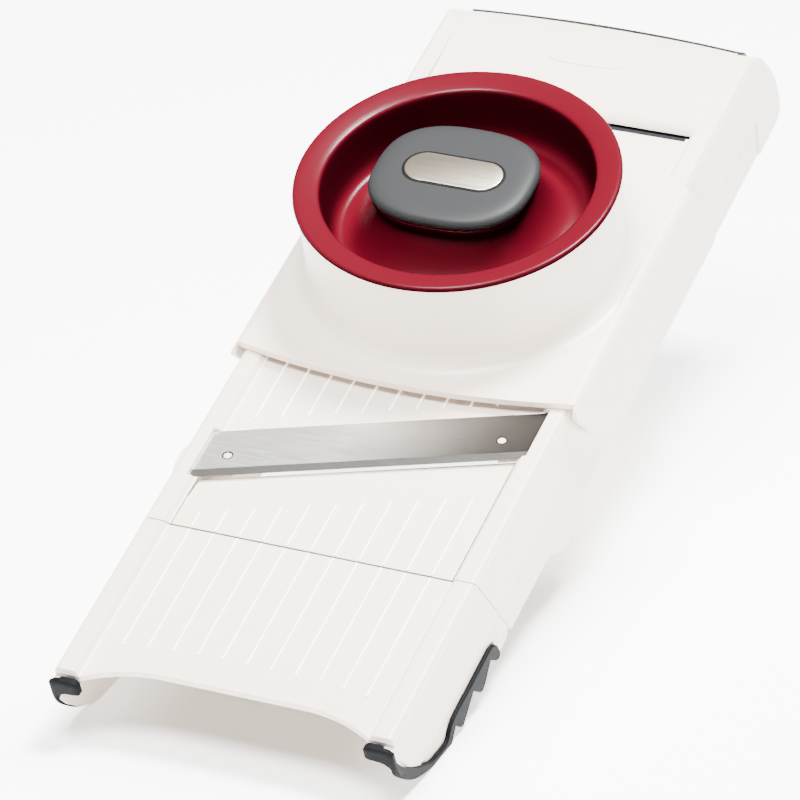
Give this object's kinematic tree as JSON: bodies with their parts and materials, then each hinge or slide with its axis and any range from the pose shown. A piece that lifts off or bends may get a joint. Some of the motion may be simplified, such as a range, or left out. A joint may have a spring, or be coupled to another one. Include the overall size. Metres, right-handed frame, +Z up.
{
  "type": "mandoline slicer",
  "caption": "Hand mandoline slicer with a ribbed sloping deck, skewed blade, sliding food carriage with a round pusher, folding front with rubber feet, thickness dial and fold-out stand.",
  "frame": {"origin": "centre of the bounding box on the table", "axes": "+X across the deck to the user's right, +Y from the low front feet towards the handle, +Z up from the table"},
  "size_m": [0.1404, 0.3994, 0.1614],
  "materials": {
    "white_plastic": "gloss",
    "grey_rubber": "matte",
    "grey_grip": "satin",
    "steel": "satin",
    "red_plastic": "gloss"
  },
  "bodies": {
    "frame": {"main_frame": "white_plastic", "blade_plate": "steel", "blade_stiffener": "steel", "handle_cover": "white_plastic", "handle_grip": "grey_grip", "stand_pin": "steel"},
    "front_section": {"front_runway": "white_plastic", "foot_grip_left": "grey_rubber", "foot_grip_right": "grey_rubber", "hinge_pin_left": "steel", "hinge_pin_right": "steel"},
    "ramp": {"ramp_plate": "white_plastic"},
    "dial": {"thickness_dial": "white_plastic", "cam_shaft": "steel", "cam_left": "white_plastic", "cam_right": "white_plastic"},
    "carriage": {"carriage_shell": "white_plastic", "carriage_glide_left": "white_plastic", "carriage_glide_right": "white_plastic"},
    "pusher": {"pusher_cup": "red_plastic", "knob_cap": "grey_grip", "knob_badge": "steel", "food_plate": "white_plastic"},
    "stand": {"stand_frame": "white_plastic", "stand_foot": "grey_rubber"}
  },
  "joints": [
    {"name": "fold_hinge", "type": "hinge", "parent": "frame", "child": "front_section", "pos_m": [0, -0.09268, 0.01737], "axis": [1, 0, 0], "range_deg": [0, 105]},
    {"name": "thickness_turn", "type": "hinge", "parent": "frame", "child": "dial", "pos_m": [0, -0.08267, 0.04894], "axis": [1, 0, 0], "range_deg": [0, 240]},
    {"name": "ramp_drop", "type": "slide", "parent": "frame", "child": "ramp", "axis": [0, -0.3007, 0.9537], "range_m": [-0.006, 0]},
    {"name": "carriage_slide", "type": "slide", "parent": "frame", "child": "carriage", "axis": [0, 0.9537, 0.3007], "range_m": [-0.16, 0.012]},
    {"name": "pusher_lift", "type": "slide", "parent": "carriage", "child": "pusher", "axis": [0, -0.3007, 0.9537], "range_m": [0, 0.045]},
    {"name": "stand_fold", "type": "hinge", "parent": "frame", "child": "stand", "pos_m": [0, 0.10447, 0.10721], "axis": [1, 0, 0], "range_deg": [-78, 0]}
  ],
  "couplings": [
    {"joint": "ramp_drop", "follows": "thickness_turn", "m_per_rad": -0.0014324}
  ]
}
